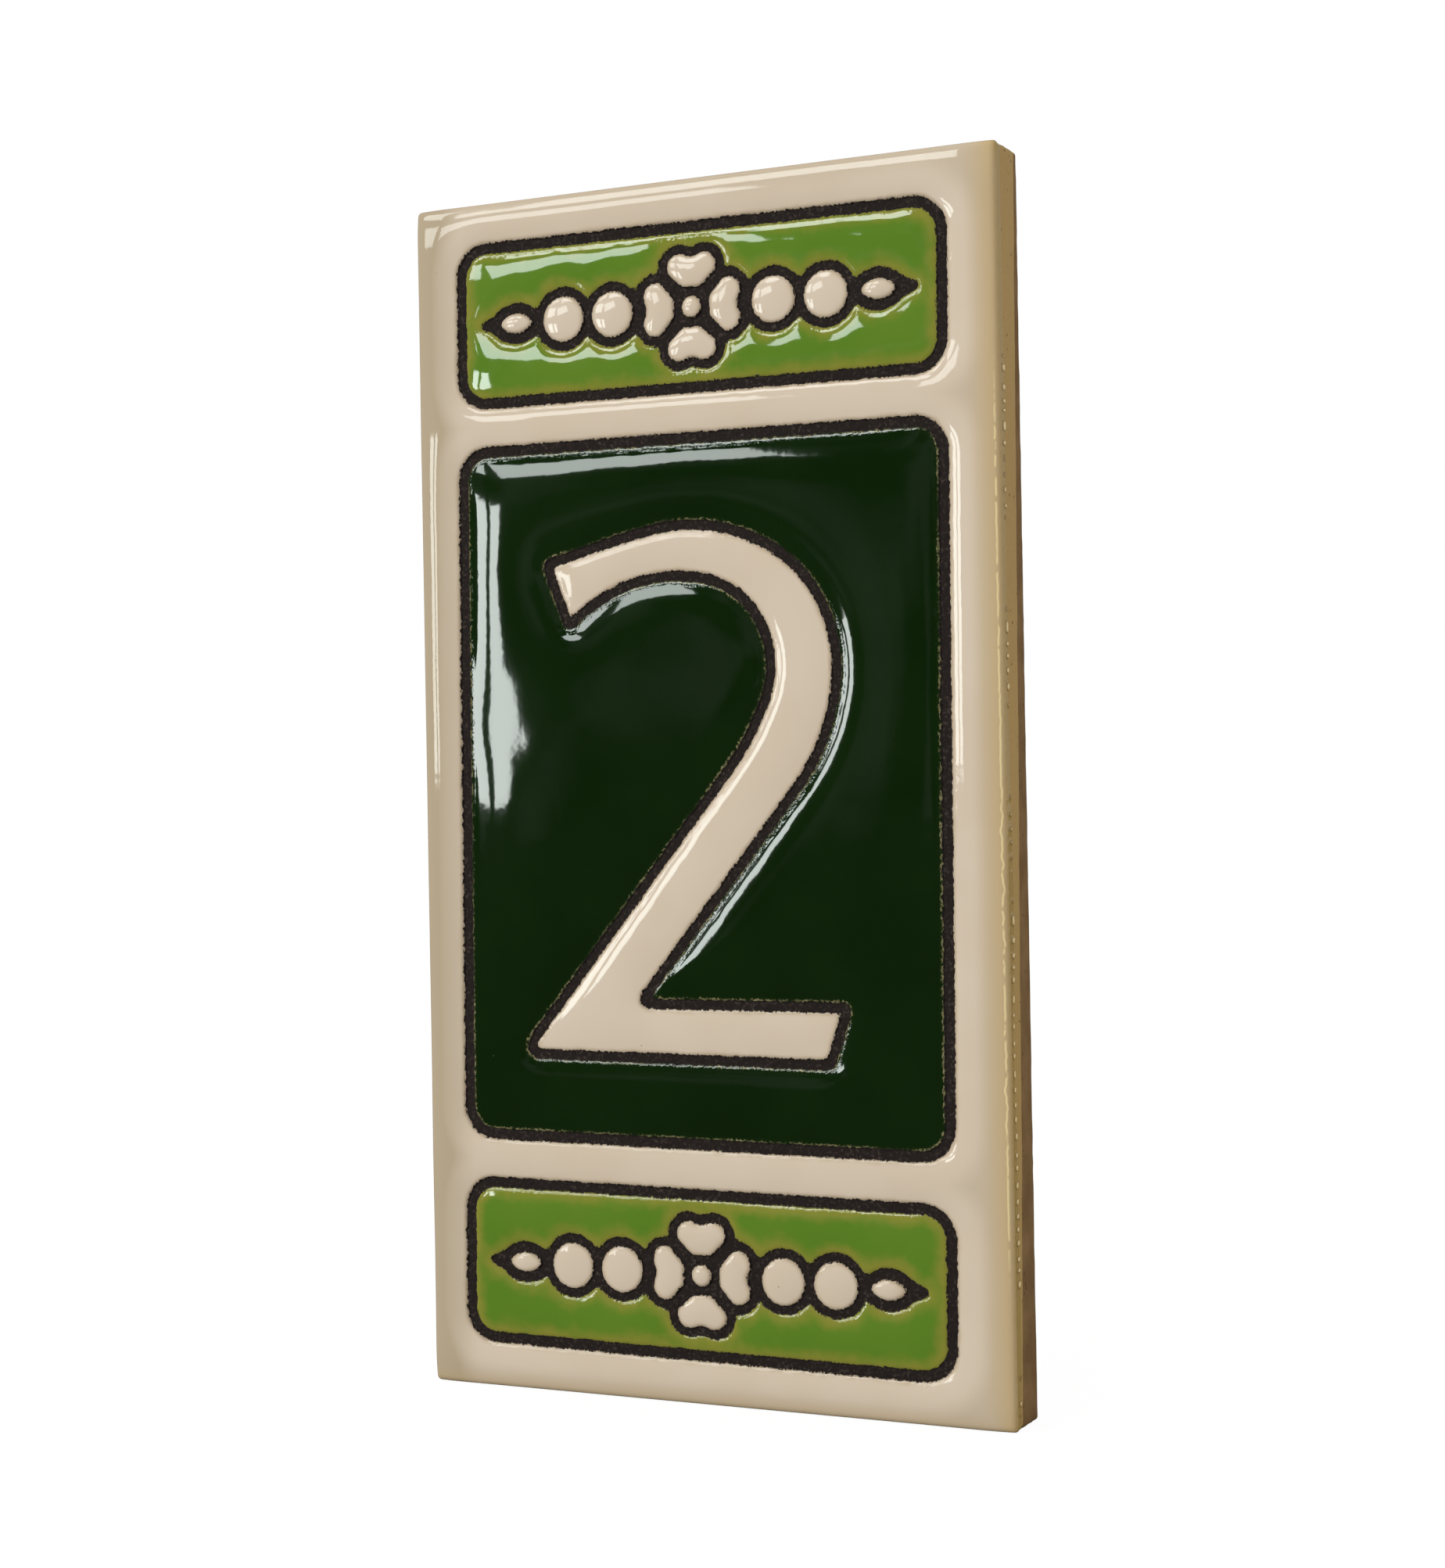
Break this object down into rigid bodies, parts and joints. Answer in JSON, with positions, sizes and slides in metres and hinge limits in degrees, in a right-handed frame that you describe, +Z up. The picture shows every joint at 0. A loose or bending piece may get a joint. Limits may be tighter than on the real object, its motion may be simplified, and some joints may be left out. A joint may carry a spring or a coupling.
{
  "type": "house number tile",
  "caption": "Upright glazed ceramic house number tile: a dark green number panel between two light green ornament bands, framed by a cream border, to be fixed flat to a wall.",
  "frame": {"origin": "centre of the back face, which lies against the wall", "axes": "+X to the right as the numeral is read, +Y into the wall, +Z up"},
  "size_m": [0.055, 0.006, 0.105],
  "materials": {
    "cream_glaze": "gloss",
    "dark_green_glaze": "gloss",
    "light_green_glaze": "gloss",
    "dry_line": "matte",
    "clay": "matte"
  },
  "bodies": {
    "root": {"tile": "cream_glaze"}
  },
  "joints": []
}
